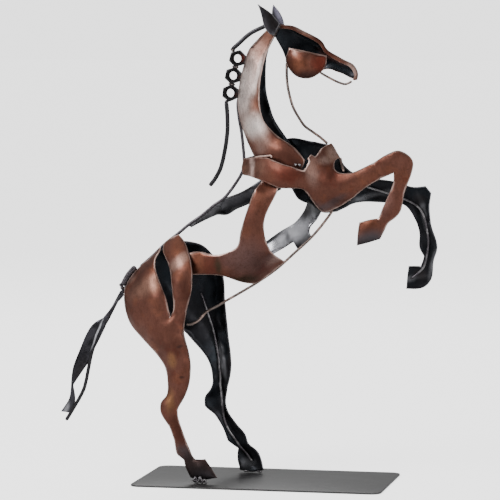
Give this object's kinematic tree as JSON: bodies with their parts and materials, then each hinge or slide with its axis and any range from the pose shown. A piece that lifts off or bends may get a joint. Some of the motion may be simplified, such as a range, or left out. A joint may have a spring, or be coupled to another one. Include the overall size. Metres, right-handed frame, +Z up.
{
  "type": "metal horse statue",
  "caption": "Rearing horse statue of cut and hammered steel sheets with an open frame of rods, standing on a thin rectangular base plate.",
  "frame": {"origin": "centre of the base plate's underside, on the surface that the statue stands on", "axes": "+X the way the horse faces, +Y to the side away from the camera, +Z up"},
  "size_m": [0.3352, 0.12, 0.4166],
  "materials": {
    "patina_sheet": "heat-coloured copper-brown steel under a clear satin lacquer",
    "black_sheet": "smoke-blackened steel under a clear gloss lacquer",
    "black_rod": "black steel rod, satin",
    "brown_rod": "browned steel rod, satin",
    "nut_steel": "dark blued steel nut",
    "weld_steel": "bare rippled weld bead",
    "plate": "dark grey satin steel plate"
  },
  "bodies": {
    "root": {"near_hind_leg": "patina_sheet", "near_flank_strap": "patina_sheet", "near_shoulder_and_foreleg": "patina_sheet", "near_neck": "patina_sheet", "head": "patina_sheet", "cheek": "patina_sheet", "far_hind_leg": "black_sheet", "far_flank_strap": "black_sheet", "far_back_band": "black_sheet", "far_shoulder_and_foreleg": "black_sheet", "far_neck": "black_sheet", "near_ear": "black_sheet", "far_ear": "black_sheet", "tail_near_leaf": "black_sheet", "tail_far_leaf": "black_sheet", "spine_rod": "black_rod", "tail_dock": "black_rod", "tail_rod": "black_rod", "far_hind_leg_wire": "black_rod", "far_foreleg_wire": "black_rod", "mane_rod_upper": "black_rod", "mane_rod_lower": "black_rod", "throat_rod": "brown_rod", "belly_rod": "brown_rod", "jaw_wire": "brown_rod", "chest_brace": "brown_rod", "mane_nut_1": "nut_steel", "mane_nut_2": "nut_steel", "mane_nut_3": "nut_steel", "near_hoof_weld": "weld_steel", "far_hoof_weld_1": "weld_steel", "far_hoof_weld_2": "weld_steel", "neck_weld_1": "weld_steel", "neck_weld_2": "weld_steel", "base_plate": "plate"}
  },
  "joints": []
}
